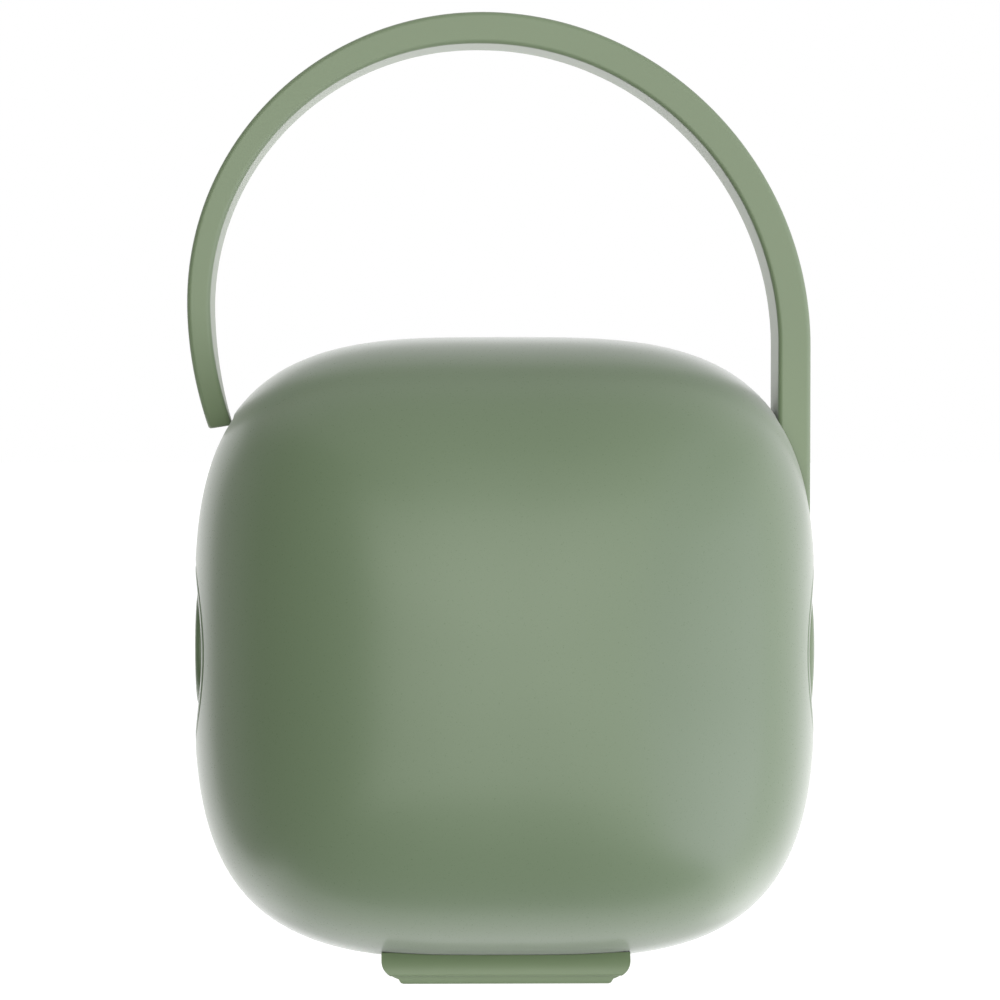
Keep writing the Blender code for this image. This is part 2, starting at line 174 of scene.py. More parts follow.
# %% [markdown]
# A moulded part is one body, with its notches, holes and pegs in it. Boolean modifiers
# join and cut the grids. They are worked in at once through the evaluated mesh, so that
# none stays live and the tools can be removed. The Manifold solver is quick and keeps
# every result closed.

# %%
# Cutting and joining
CUT, JOIN, KEEP = "DIFFERENCE", "UNION", "INTERSECT"


def shape_with(piece, steps):
    """Work a list of (operation, tool) into the piece and remove the tools."""
    for operation, tool in steps:
        modifier = piece.modifiers.new(tool.name, "BOOLEAN")
        modifier.operation = operation
        modifier.solver = "MANIFOLD"
        modifier.object = tool
    graph = bpy.context.evaluated_depsgraph_get()
    shaped = bpy.data.meshes.new_from_object(piece.evaluated_get(graph))
    piece.modifiers.clear()
    piece.data = shaped
    for _, tool in steps:
        bpy.data.objects.remove(tool, do_unlink=True)
    return piece


print("helpers ready for", CUT, JOIN, KEEP)

# %% [markdown]
# The case's surface has two angles as its parameters. One goes round the outline, the
# other goes from the pole of the dome to the parting line. A power curve in polar form
# spreads its points evenly over the corners and the flats.

# %%
# Surface of the case
round_points = 256
round_turns = np.linspace(0.0, 2 * math.pi, round_points, endpoint=False)


def power_reach(angle, power):
    """One over the power sum of cosine and sine: the polar form of a rounded square."""
    return (np.abs(np.cos(angle)) ** power + np.abs(np.sin(angle)) ** power) ** (-1.0 / power)


def case_grid(depths, widths):
    """A rounded square of each half width, at each depth, as rows of points."""
    reach = power_reach(round_turns, outline_power)
    across = case_stretch * np.outer(widths, reach * np.cos(round_turns))
    up = np.outer(widths, reach * np.sin(round_turns))
    depth = np.repeat(np.asarray(depths)[:, None], round_points, axis=1)
    return np.stack([across, depth, case_height + up], axis=-1)


def dome_rows(inset, first, last, count):
    """Depths and half widths from one angle to another on the dome's power curve."""
    angle = np.linspace(first, last, count)
    reach = power_reach(angle, dome_power)
    return (case_half_depth - inset) * reach * np.cos(angle), (case_half - inset) * reach * np.sin(angle)


def side_reach(y, z, inset=0.0):
    """How far the case reaches sideways at a depth and height, or nothing outside it."""
    depth = np.clip(np.abs(y) / (case_half_depth - inset), 0.0, 1.0)
    level = (1.0 - depth ** dome_power) ** (outline_power / dome_power)
    rise = np.abs(z - case_height) / (case_half - inset)
    reach = np.clip(level - rise ** outline_power, 0.0, 1.0) ** (1.0 / outline_power)
    return case_stretch * (case_half - inset) * reach


sample = case_grid(*dome_rows(0.0, 0.1, math.pi / 2, 24))
print("case surface", (np.ptp(sample.reshape(-1, 3), axis=0) / MM).round(1), "mm")

# %% [markdown]
# Moulded parts have no knife edges. The two shells meet in a shallow groove, because
# each outer edge is rounded at the parting line. The places cut into the sides get the
# same care. A Bevel modifier after the cut would be the usual way, but it breaks up
# where a cut runs out on a surface that is curved both ways. So each cutting tool flares
# out where it leaves the surface, and the mouth of the cut comes out rounded.

# %%
# Outlines on the sides
def loop(corners, spacing=0.7 * MM):
    """Even points along a closed outline, given by its corners as (y, z) pairs."""
    corners = np.asarray(corners)
    following = np.roll(corners, -1, axis=0)
    lengths = np.linalg.norm(following - corners, axis=1)
    counts = np.maximum(1, np.ceil(lengths / spacing).astype(int))
    which = np.repeat(np.arange(len(corners)), counts)
    share = np.concatenate([np.arange(count) / count for count in counts])[:, None]
    return corners[which] * (1.0 - share) + following[which] * share


def circle(radius, count=128):
    """Points (y, z) on a circle round the studs' axis."""
    turn = np.linspace(0.0, 2 * math.pi, count, endpoint=False)
    return np.stack([radius * np.cos(turn), case_height + radius * np.sin(turn)], axis=-1)


def outward(outline):
    """The outline's outward direction at each point: its chord turned by a right angle."""
    chord = np.roll(outline, -1, axis=0) - np.roll(outline, 1, axis=0)
    normal = np.stack([chord[:, 1], -chord[:, 0]], axis=-1)
    normal /= np.linalg.norm(normal, axis=1)[:, None]
    away = outline - outline.mean(axis=0)
    return normal * np.sign((normal * away).sum())


print("dish outline", len(circle(dish_radius)), "points")

# %%
# Cutting tools for the sides
least_edge = 0.02 * MM
least_rise = 0.002 * MM


def prism(name, side, start, end, outline):
    """An outline of (y, z) points carried sideways from start to end."""
    rows = [np.column_stack([np.full(len(outline), side * x), outline]) for x in (start, end)]
    return skin(name, np.array(rows))


def flared(name, side, floor, outline, edge=soft_edge):
    """A tool with a flat floor and straight walls that flares out at the case's surface.

    At each point of the outline the wall rises to one edge radius below the surface.
    A quarter circle of that radius, left fifteen degrees short, leads outwards.
    """
    normal = outward(outline)
    surface = side_reach(outline[:, 0], outline[:, 1])
    radius = np.clip(surface - floor, least_edge, edge)
    rows = [np.column_stack([np.full(len(outline), floor), outline])]
    for turn in np.radians([0.0, 25.0, 50.0, 75.0]):
        offset = radius * (1.0 - math.cos(turn))
        moved = outline + normal * offset[:, None]
        level = side_reach(moved[:, 0], moved[:, 1]) - radius * (1.0 - math.sin(turn))
        rows.append(np.column_stack([np.maximum(level, rows[-1][:, 0] + least_rise), moved]))
    last = rows[-1]
    moved = last[:, 1:] + normal * (2 * edge)
    rows.append(np.column_stack([last[:, 0] + 2 * edge, moved]))
    rows.append(np.column_stack([np.full(len(outline), outside + overrun), moved]))
    points = np.array(rows)
    points[:, :, 0] *= side
    return skin(name, points)


print("flared tools ready, edge", round(soft_edge / MM, 2), "mm")

# %%
# Turned forms
def turned_rows(profile, count):
    """Places along an axis and two offsets across it, from (place, radius) pairs."""
    along, radius = np.asarray(profile).T
    turn = np.linspace(0.0, 2 * math.pi, count, endpoint=False)
    along = np.repeat(along[:, None], count, axis=1)
    return along, np.outer(radius, np.cos(turn)), np.outer(radius, np.sin(turn))


def tube(name, profile, z, count=96, ring=False):
    """A profile of (x, radius) pairs turned round an axis along X at the height z."""
    across, deep, up = turned_rows(profile, count)
    return skin(name, np.stack([across, deep, z + up], axis=-1), ring=ring)


def post(name, profile, x, y, count=48):
    """A profile of (height, radius) pairs turned round an upright axis."""
    up, wide, deep = turned_rows(profile, count)
    return skin(name, np.stack([x + wide, y + deep, up], axis=-1))


print("turned forms ready")

# %%
# Outlines of the channel and the fan
top = case_height + case_half + overrun
back = case_half_depth + overrun
channel_corners, fan_corners = [
    [(-channel_half, case_height), (0.0, case_height - channel_half),
     (rearmost, case_height - channel_half), (rearmost, top), (-channel_half, top)]
    for rearmost in (overrun, back)]


def widened(corners, by):
    """The same corners with the front and the low edge moved outwards."""
    return [(y - by if y < 0.0 else y, z - by if y >= 0.0 and z < case_height else z)
            for y, z in corners]


print("channel", round(2 * channel_half / MM, 1), "mm wide, fan open to the rear")

# %% [markdown]
# The front shell is the lid. Its outer skin is a grid from the pole of the dome to the
# parting line, where the edge is rounded with a quarter circle. A Solidify modifier
# could give the wall, but the real inside isn't just an offset: it leaves solid frames
# behind the dimples. So the hollow is a form of its own, the same dome moved in by the
# wall's thickness, and it is cut out of the skin.

# %%
# Shell bodies
def seam_rows(inset_from, inset_to, depth_from, depth_to, count=5):
    """A quarter circle between two insets and two depths, as depths and half widths."""
    turn = np.linspace(0.0, math.pi / 2, count)
    depths = depth_from + (depth_to - depth_from) * np.sin(turn)
    widths = case_half - inset_from - (inset_to - inset_from) * (1.0 - np.cos(turn))
    return depths, widths


def shell_body(name, side):
    """Outer skin from the pole to the parting line, closed by a flat face there."""
    depths, widths = dome_rows(0.0, pole_angle, math.pi / 2, 72)
    kept = depths > seam + soft_edge
    edge_depths, edge_widths = seam_rows(0.0, soft_edge, seam + soft_edge, seam)
    rows = case_grid(side * np.concatenate([depths[kept], edge_depths]),
                     np.concatenate([widths[kept], edge_widths]))
    return skin(name, rows, ends=((0.0, side * case_half_depth, case_height),
                                  (0.0, side * seam, case_height)))


def frames(name, outlines):
    """Solid places that a hollow leaves at both sides, from (start, outline) pairs."""
    return [(CUT, prism(f"{name}_{word}_{index}", side, start, outside + overrun, outline))
            for side, word in SIDES for index, (start, outline) in enumerate(outlines)]


print("shell walls", round(case_wall / MM, 1), "mm thick")

# %%
# Front shell
front = shell_body("front_shell_skin", -1.0)
depths, widths = dome_rows(case_wall, pole_angle, math.pi / 2, 56)
kept = depths > seam + soft_edge
mouth_depths, mouth_widths = seam_rows(case_wall, case_wall - soft_edge, seam + soft_edge, seam)
hollow_depths = -np.concatenate([depths[kept], mouth_depths, [-overrun]])
hollow_widths = np.concatenate([widths[kept], mouth_widths, mouth_widths[-1:]])
hollow = skin("front_hollow", case_grid(hollow_depths, hollow_widths),
              ends=((0.0, case_wall - case_half_depth, case_height), (0.0, overrun, case_height)))
rim = ear_radius + gap + frame_width
shape_with(hollow, frames("front_frame", [
    (channel_floor + gap, circle(rim)),
    (channel_floor + gap, loop(widened(fan_corners, frame_width))),
]))
steps = [(CUT, hollow)]
for side, word in SIDES:
    notch = flared("front_notch_" + word, side, plate_inner - overrun, circle(ear_radius + gap))
    channel = flared("front_channel_" + word, side, channel_floor, loop(channel_corners))
    steps += [(CUT, notch), (CUT, channel)]
shape_with(front, steps)
print("front shell", len(front.data.polygons), "faces")

# %% [markdown]
# The rear shell carries what stands across the parting line: a thin lip that the lid
# closes over, and at each side a round ear with the dimple in it and a flat plate that
# the band lies on. Behind the band a shallow fan is sunk into the side, which the band
# sweeps over when it turns back. All of it is one moulding, so the pieces are joined
# before the hollow, the dishes and the fans are cut, and no inner wall stays behind.

# %%
# Ear and lip
def ear(name, side, count=128):
    """A disc whose outer face follows the case, with its edge rounded inwards.

    Each row is a circle round the studs' axis. The first stands at the root, four more
    make the rounded edge, and the last three lead over the face to the middle.
    """
    ease = np.radians([0, 30, 60, 90])
    inner = ear_radius * np.array([0.8, 0.5, 0.2])
    reach = np.concatenate([ear_radius - soft_edge * (1.0 - np.cos(ease)), inner])
    drop = np.concatenate([soft_edge * (1.0 - np.sin(ease)), np.zeros(len(inner))])
    turn = np.linspace(0.0, 2 * math.pi, count, endpoint=False)
    face = side_reach(np.outer(reach, np.cos(turn)), case_height + np.outer(reach, np.sin(turn)), overlap)
    across = np.vstack([np.full(count, ear_root), face - drop[:, None]])
    reach = np.concatenate([[ear_radius], reach])
    points = np.stack([side * across, np.outer(reach, np.cos(turn)),
                       case_height + np.outer(reach, np.sin(turn))], axis=-1)
    return skin(name, points)


def lip_ring():
    """A thin wall round the opening: a rounded profile carried along the outline."""
    outer = case_half - case_wall - gap
    inner = outer - lip_thickness
    turn = np.linspace(0.0, math.pi, 9)
    half = lip_thickness / 2
    widths = np.concatenate([[outer], outer - half + half * np.cos(turn), [inner]])
    depths = np.concatenate([[lip_root], half - lip_height - half * np.sin(turn), [lip_root]])
    return skin("lip", case_grid(depths, widths), ring=True)


def whole_case(name, inset, count):
    """The closed case moved in by an inset: both domes as one grid from pole to pole."""
    depths, widths = dome_rows(inset, pole_angle, math.pi / 2, count)
    return skin(name, case_grid(np.concatenate([-depths, depths[-2::-1]]),
                                np.concatenate([widths, widths[-2::-1]])))


print("ear", round(2 * ear_radius / MM, 1), "mm across, lip", round(lip_height / MM, 1), "mm high")

# %%
# Rear body with ears and plates
rear = shell_body("rear_shell_skin", 1.0)
ear_back = np.array([(2 * lip_root, 0.0), (back, 0.0), (back, top), (2 * lip_root, top)])
plate_low = case_height + dish_radius / 2
plate_outline = np.array([(-channel_half - frame_width, plate_low), (lip_root / 2, plate_low),
                          (lip_root / 2, top), (-channel_half - frame_width, top)])
steps = []
for side, word in SIDES:
    plain = ear("ear_" + word, side)
    shape_with(plain, [(CUT, prism("ear_back_" + word, side, 0.0, outside + overrun, ear_back))])
    plate = prism("plate_" + word, side, ear_root + frame_width, channel_floor - overlap, plate_outline)
    shape_with(plate, [(KEEP, whole_case("plate_limit_" + word, case_wall + plate_inset, 40))])
    steps += [(JOIN, plain), (JOIN, plate)]
shape_with(rear, steps)
print("rear body", len(rear.data.polygons), "faces")

# %% [markdown]
# The rear hollow leaves frames behind the dishes and the fans, as the front one does. The
# lip breaks off at both ears, because there is no room for it between them and the lid.

# %%
# Rear hollow, dishes and fans
lip = lip_ring()
shape_with(lip, [(CUT, tube("lip_break_" + word, [(side * lip_break_reach, lip_break_radius),
                                                  (side * outside, lip_break_radius)], case_height))
                 for side, word in SIDES])

inner_width = case_half - case_wall - gap - lip_thickness
depths, widths = dome_rows(case_wall, pole_angle, math.pi / 2, 56)
kept = depths > lip_root
hollow = skin("rear_hollow", case_grid(
    np.concatenate([depths[kept], [lip_root, lip_root / 2, -ear_radius - overrun]]),
    np.concatenate([widths[kept], [case_half - case_wall, inner_width, inner_width]])),
    ends=((0.0, case_half_depth - case_wall, case_height), (0.0, -ear_radius - overrun, case_height)))
rear_arc = np.radians(np.linspace(-90.0, 90.0, 65))
rear_rim = (ear_radius + gap + frame_width) * np.column_stack([np.cos(rear_arc), np.sin(rear_arc)])
rear_rim[:, 1] += case_height
shape_with(hollow, frames("rear_frame", [
    (plate_inner, circle(ear_radius + overlap)),
    (plate_inner, rear_rim),
    (plate_inner, loop(widened(fan_corners, frame_width + overlap))),
]))
steps = [(CUT, hollow), (JOIN, lip)]
for side, word in SIDES:
    dish = flared("rear_dish_" + word, side, channel_floor, circle(dish_radius))
    fan = flared("rear_fan_" + word, side, channel_floor, loop(fan_corners))
    hole = tube("rear_stud_hole_" + word, [(side * (plate_inner - overrun), stud_hole),
                                           (side * (channel_floor + overrun), stud_hole)], case_height)
    steps += [(CUT, dish), (CUT, fan), (CUT, hole)]
shape_with(rear, steps)
print("rear shell", len(rear.data.polygons), "faces")

# %% [markdown]
# Both shells take a groove over the hinge's knuckles and two small holes for the pegs
# that hold its leaves. They are cut last, so that each tool meets the finished wall.

# %%
# Seats for the hinge
for shell, side, word in ((front, -1.0, "front"), (rear, 1.0, "rear")):
    half = hinge_length / 2 + gap
    groove = [(-half, knuckle_radius + gap), (half, knuckle_radius + gap)]
    hole = [(0.0, peg_hole), (block_height + case_wall + overrun, peg_hole)]
    shape_with(shell, [(CUT, tube(word + "_groove", groove, hinge_height, count=48))] + [
        (CUT, post(word + "_peg_hole", hole, place, side * peg_place))
        for place in (-peg_spread, peg_spread)])
print("seats cut")

# %% [markdown]
# The band is one soft moulding. Its path goes straight up from the stud, round two
# quarters of a power curve, and ends in a short arc beside the left shoulder. A Bezier
# curve with a bevel shape would be quicker, but its thickness and depth couldn't change
# apart from each other. So a flat section with rounded edges is carried along the path
# as a grid. It thins towards the tip, narrows there in depth to a tongue, and its end is
# cut a little aslant. The eye round the stud is a disc joined to its lower end.

# %%
# Band sizes
band_half = 6.0 * MM
band_outer = 36.7 * MM
band_inner = channel_floor + gap
band_middle = -2.6 * MM
band_top = 115.72 * MM
band_right_height = 75.8 * MM
band_left_height = 81.0 * MM
band_left_reach = 35.45 * MM
band_right_power = 1.98
band_left_power = 2.01
band_thickness = np.array([3.9, 3.8, 2.8]) * MM
band_tip_radius = 50.0 * MM
band_tip_angle = math.radians(18.2)
band_taper = 16.0 * MM
band_tip_half = 1.6 * MM
band_edge = 0.6 * MM
tip_steps = np.concatenate([np.linspace(0.0, 0.97, 20), [0.977, 0.984, 0.990, 0.995, 0.998, 1.0]])
print("band", round(2 * band_half / MM, 1), "mm deep")

# %%
# Band path
def quarter(middle, base, reach, rise, power, first, count):
    """A quarter of a power curve as places and outward directions, from an angle on."""
    angle = first + np.linspace(0.0, math.pi / 2, count, endpoint=False)
    across, up = np.cos(angle), np.abs(np.sin(angle))
    places = np.column_stack([middle + reach * np.sign(across) * np.abs(across) ** (2.0 / power),
                              base + rise * up ** (2.0 / power)])
    slope = np.column_stack([np.sign(across) * np.abs(across) ** (2.0 - 2.0 / power) / reach,
                             up ** (2.0 - 2.0 / power) / rise])
    return places, slope / np.linalg.norm(slope, axis=1)[:, None]


def band_stations(steps=64, straight_steps=24):
    """Places, outward directions and thicknesses from the stud to the band's tip."""
    heights = np.linspace(case_height, band_right_height, straight_steps, endpoint=False)
    straight = np.column_stack([np.full(straight_steps, band_outer), heights])
    right, right_out = quarter(band_middle, band_right_height, band_outer - band_middle,
                               band_top - band_right_height, band_right_power, 0.0, steps)
    left, left_out = quarter(band_middle, band_left_height, band_left_reach,
                             band_top - band_left_height, band_left_power, math.pi / 2, steps)
    angle = band_tip_angle * tip_steps
    tip_out = -np.column_stack([np.cos(angle), np.sin(angle)])
    tip_centre = np.array([band_middle - band_left_reach + band_tip_radius, band_left_height])
    tip = tip_centre + band_tip_radius * tip_out
    places = np.vstack([straight, right, left, tip])
    directions = np.vstack([np.tile([1.0, 0.0], (straight_steps, 1)), right_out, left_out, tip_out])
    root, crown, end = band_thickness
    thickness = np.concatenate([
        np.full(straight_steps, root), np.linspace(root, crown, steps, endpoint=False),
        np.linspace(crown, end, steps, endpoint=False), np.full(len(tip_steps), end)])
    return places, directions, thickness


places, directions, thickness = band_stations()
travel = np.concatenate([[0.0], np.cumsum(np.linalg.norm(np.diff(places, axis=0), axis=1))])
print("band length", round(travel[-1] / MM, 1), "mm")

# %%
# Band body
end_edge = 0.35 * MM
end_slant = 0.45 * MM
end_rounding = 0.2


def rounded_sections(half_depths, thickness, edge, count=8):
    """A flat bar's outline at every station, as two arrays: offsets outwards and in depth.

    Each corner is a quarter circle of the edge radius, and its centre stands one edge
    radius inside both faces.
    """
    turn = np.linspace(0.0, math.pi / 2, count)
    outer, inner, deep = np.full_like(thickness, -edge), edge - thickness, half_depths - edge
    across_rows, depth_rows = [], []
    centres = ((outer, deep), (inner, deep), (inner, -deep), (outer, -deep))
    for corner, (across, depth) in enumerate(centres):
        angle = turn + corner * math.pi / 2
        across_rows.append(across[:, None] + edge * np.cos(angle))
        depth_rows.append(depth[:, None] + edge * np.sin(angle))
    return np.hstack(across_rows), np.hstack(depth_rows)


left_over = travel[-1] - travel
swell = np.sin(math.pi / 2 * np.clip(left_over / band_taper, 0.0, 1.0))
half_depths = band_tip_half + (band_half - band_tip_half) * swell
into_end = np.clip(1.0 - left_over / end_edge, 0.0, 1.0)
ease = (1.0 - (1.0 - np.sqrt(1.0 - into_end ** 2)) * end_rounding)[:, None]
slant = (end_slant * np.clip(1.0 - left_over / (4 * end_slant), 0.0, 1.0))[:, None]
thick = thickness[:, None]
across, depth = rounded_sections(half_depths, thickness, band_edge)
across = -thick / 2 + (across + thick / 2) * ease
back_off = slant * (1.0 + across / thick)
out_x, out_z = directions[:, :1], directions[:, 1:]
band = skin("handle_band", np.stack([places[:, :1] + out_x * across + out_z * back_off, depth * ease,
                                     places[:, 1:] + out_z * across - out_x * back_off], axis=-1))
print("band", len(band.data.polygons), "faces before the eye")

# %% [markdown]
# The eye is a flat disc that lies in the dish. A round room takes the stud's head, which
# then sits almost flush, and a smaller hole takes its stem. Turned profiles give exact
# circles, and one pass of joins and cuts keeps the band a single closed body.

# %%
# Eye of the band
eye_radius = dish_radius - gap
head_radius = 7.3 * MM
head_thickness = 2.1 * MM
stem_radius = 4.5 * MM
stud_reach = 37.2 * MM
seat = stud_reach - head_thickness - gap
mouth = 0.35 * MM
room = head_radius + gap
turn = np.linspace(0.0, math.pi / 2, 7)
inwards, aside = 1.0 - np.sin(turn), 1.0 - np.cos(turn)
eye_profile = np.vstack([
    np.column_stack([band_inner + band_edge * inwards, eye_radius - band_edge * aside])[::-1],
    np.column_stack([band_outer - band_edge * inwards, eye_radius - band_edge * aside]),
])
room_profile = np.vstack([
    [(seat, room)],
    np.column_stack([band_outer - mouth * inwards[:-1], room + mouth * aside[:-1]]),
    [(band_outer + mouth, room + 2 * mouth), (band_outer + overrun, room + 2 * mouth)],
])
hole_profile = [(band_inner - overrun, stem_radius + gap), (band_outer + overrun, stem_radius + gap)]
shape_with(band, [
    (JOIN, tube("eye", eye_profile, case_height, count=160)),
    (CUT, tube("head_room", room_profile, case_height, count=128)),
    (CUT, tube("eye_hole", hole_profile, case_height)),
])
print("band", len(band.data.polygons), "faces")

# %% [markdown]
# Each stud is a turned form: a head with a soft edge and a faint crown, the stem that
# the eye turns on, and a neck that goes through the plate. Inside the box a push-on
# ring holds the neck. A Screw modifier could turn the same profiles, but the grid
# helper closes the poles and keeps the faces pointing outwards.

# %%
# Studs
stud_crown = 0.06 * MM
stud_edge = 0.7 * MM
head_ease = 0.15 * MM
neck_radius = 3.0 * MM
neck_end = 28.9 * MM
neck_ease = 0.2 * MM


def stud(name, side):
    """A crowned head, a stem and a neck, turned round the studs' axis."""
    flat = head_radius - stud_edge
    radii = np.linspace(0.15, 1.0, 7) * flat
    face = np.column_stack([stud_reach - stud_crown * (radii / flat) ** 2, radii])
    turn = np.linspace(0.1, math.pi / 2, 8)
    corner = np.column_stack([stud_reach - stud_crown - stud_edge * (1.0 - np.cos(turn)),
                              head_radius - stud_edge * (1.0 - np.sin(turn))])
    under = stud_reach - head_thickness
    low = [(under + head_ease, head_radius), (under, head_radius - head_ease), (under, stem_radius),
           (channel_floor + gap, stem_radius), (channel_floor + gap, neck_radius),
           (neck_end, neck_radius), (neck_end - neck_ease, neck_radius - neck_ease)]
    return tube(name, np.vstack([face, corner, low]) * [side, 1.0], case_height, count=128)


right_stud = stud("right_stud", 1.0)
left_stud = stud("left_stud", -1.0)
print("stud head", round(2 * head_radius / MM, 1), "mm across")

# %% [markdown]
# A push-on ring grips each stud's neck behind the plate. It is small and sits inside the
# box, so a closed power curve, turned once round the axis, is enough for its section.

# %%
# Rings
ring_middle = 30.0 * MM
ring_half = 0.5 * MM
ring_radius = 4.35 * MM
ring_half_width = 1.05 * MM
ring_power = 5.0


def push_ring(name, side):
    """A small ring with eased edges, a closed power curve turned round the same axis."""
    turn = np.linspace(0.0, 2 * math.pi, 33)[:-1]
    reach = power_reach(turn, ring_power)
    profile = np.column_stack([ring_middle + ring_half * reach * np.cos(turn),
                               ring_radius + ring_half_width * reach * np.sin(turn)])
    return tube(name, profile * [side, 1.0], case_height, ring=True)


right_ring = push_ring("right_ring", 1.0)
left_ring = push_ring("left_ring", -1.0)
print("rings", round(2 * (ring_radius + ring_half_width) / MM, 1), "mm across")

# %% [markdown]
# The hinge block is two leaves on one pin. From the front it is a low bar with round
# shoulders and a narrower foot. From the side its face rounds over under the case and
# ends in a small lower lip, behind which the foot stands back. A bevelled box would
# round all of its edges alike, so each leaf is the front outline crossed with the side
# profile instead: two long prisms, of which only the room that they share is kept. The
# solid under it is a plainer bar, whose face stands a millimetre further out.

# %%
# Leaf outline
block_half_width = 14.8 * MM
block_top = 4.0 * MM
block_side_low = 2.9 * MM
block_corner_height = 1.35 * MM
foot_half_width = 12.75 * MM
foot_end = 0.6 * MM
foot_corner = np.array([(0.1, 0.4), (0.25, 0.15), (0.6, 0.0)]) * MM


def bend(start, corner, end, count=14):
    """A quadratic curve that leaves start towards the corner and arrives at end from it."""
    share = np.linspace(0.0, 1.0, count)[:, None]
    start, corner, end = np.array(start), np.array(corner), np.array(end)
    return (1 - share) ** 2 * start + 2 * share * (1 - share) * corner + share ** 2 * end


def block_outline():
    """The block seen from the front: upright sides, round shoulders and a narrower foot."""
    shoulder = bend((block_half_width, block_side_low), (block_half_width, block_corner_height),
                    (foot_half_width, foot_end))
    foot = np.column_stack([foot_half_width - foot_corner[:, 0], foot_corner[:, 1]])
    right = np.vstack([[(block_half_width, block_top + case_wall)], shoulder, foot])
    return np.vstack([right, right[::-1] * [-1.0, 1.0]])


print("block", round(2 * block_half_width / MM, 1), "mm wide")

# %%
# Leaf profile
face_depth = 13.2 * MM
face_top_depth = face_depth - 2.0 * MM
face_top = 4.3 * MM
face_bend = 2.6 * MM
top_level = 3.8 * MM
lip_level = 1.35 * MM
lip_back = 0.4 * MM
lip_drop = 0.03 * MM
foot_height = 1.05 * MM
foot_depth = 12.35 * MM
foot_back = 0.35 * MM
foot_drop = 0.05 * MM
leaf_bevel = math.radians(30.0)


def leaf_profile():
    """A leaf from the side: a face that rounds over under the case, its lip, foot and bevel."""
    face = bend((face_top_depth, face_top), (face_depth, face_bend), (face_depth, lip_level), 24)
    face = face[face[:, 1] < top_level]
    lip = bend((face_depth, lip_level - lip_drop), (face_depth, foot_height),
               (face_depth - lip_back, foot_height), 8)
    foot = bend((foot_depth, foot_height - foot_drop), (foot_depth, 0.0), (foot_depth - foot_back, 0.0), 8)
    bevel = [(seam + hinge_height / math.tan(leaf_bevel), 0.0), (seam, hinge_height)]
    return np.vstack([[(seam, face[0, 1])], face, lip, foot, bevel])


print("leaf profile", len(leaf_profile()), "points")

# %% [markdown]
# Five knuckles share the pin, two of them on the lid's leaf and three on the rear one.
# Two pegs on each leaf go up through the shell and end in a round head, as pegs do that
# are melted over. How high the heads sit follows from the case's inner surface at the
# pegs' outer corner, so they always clear it.

# %%
# Knuckles and pegs
pitch = (hinge_length + gap) / 5
knuckle_ease = 0.15 * MM
knuckle_flat = 0.5 * MM
bore_radius = 0.75 * MM
peg_radius = 0.8 * MM
peg_head = np.array([(0.0, 1.2), (0.1, 1.3), (0.4, 1.2), (0.55, 0.9), (0.6, 0.4)]) * MM
head_half = peg_head[:, 1].max()
peg_x, peg_y = peg_spread + head_half, peg_place + head_half
inside_half = case_half - case_wall
level = (1.0 - (peg_y / (case_half_depth - case_wall)) ** dome_power) ** (outline_power / dome_power)
inside_drop = inside_half * (level - (peg_x / inside_half) ** outline_power) ** (1.0 / outline_power)
head_height = gap + case_height - inside_drop


def knuckle_steps(name, start, end, flat_under):
    """A turned barrel with eased ends, and a flat under it where the leaf asks for one."""
    low, high = start + knuckle_ease, end - knuckle_ease
    barrel = [(start, knuckle_radius - knuckle_ease), (low, knuckle_radius),
              (high, knuckle_radius), (end, knuckle_radius - knuckle_ease)]
    steps = [(JOIN, tube(name + "_knuckle", barrel, hinge_height, count=48))]
    if flat_under:
        flat = np.array([[(x, -knuckle_flat, 0.0), (x, knuckle_flat, 0.0), (x, knuckle_flat, hinge_height),
                          (x, -knuckle_flat, hinge_height)] for x in (low, high)])
        steps.append((JOIN, skin(name + "_flat", flat)))
    return steps


print("peg heads", round(head_height / MM, 2), "mm up")

# %%
# Leaves
leaf_room = -0.06 * MM
crossing_depth = 28.6 * MM


def leaf(name, side, knuckles):
    """The block's outline crossed with a leaf's side profile, with knuckles and pegs."""
    outline, profile = block_outline(), leaf_profile()
    reach = block_half_width + overrun
    crossing = np.array([np.column_stack([outline[:, 0], np.full(len(outline), y), outline[:, 1]])
                         for y in (-crossing_depth, crossing_depth)])
    ends = [np.column_stack([np.full(len(profile), x), side * profile[:, 0], profile[:, 1]])
            for x in (-reach, reach)]
    body = skin(name, np.array(ends))
    steps = [(KEEP, skin(name + "_outline", crossing)),
             (CUT, whole_case(name + "_case_room", leaf_room, 80))]
    room_radius = math.hypot(knuckle_flat, hinge_height) + gap
    for index in range(5):
        start = index * pitch - hinge_length / 2
        end = start + pitch - gap
        if index in knuckles:
            steps += knuckle_steps(name, start, end, side > 0)
        else:
            room = [(start - gap, room_radius), (end + gap, room_radius)]
            steps.append((CUT, tube(name + "_room", room, hinge_height, count=48)))
    bore = [(-reach, bore_radius), (reach, bore_radius)]
    steps.append((CUT, tube(name + "_bore", bore, hinge_height, count=48)))
    peg = np.vstack([[(foot_height, peg_radius), (head_height, peg_radius)], peg_head + [head_height, 0.0]])
    for place in (-peg_spread, peg_spread):
        steps.append((JOIN, post(name + "_peg", peg, place, side * peg_place)))
    return shape_with(body, steps)


front_leaf = leaf("front_leaf", -1.0, (1, 3))
rear_leaf = leaf("rear_leaf", 1.0, (0, 2, 4))
print("leaves", len(front_leaf.data.polygons), len(rear_leaf.data.polygons), "faces")

# %% [markdown]
# The pin is a plain steel axle, a little shorter than the row of knuckles. Its ends are
# chamfered, as they are on a pin that is pushed in.

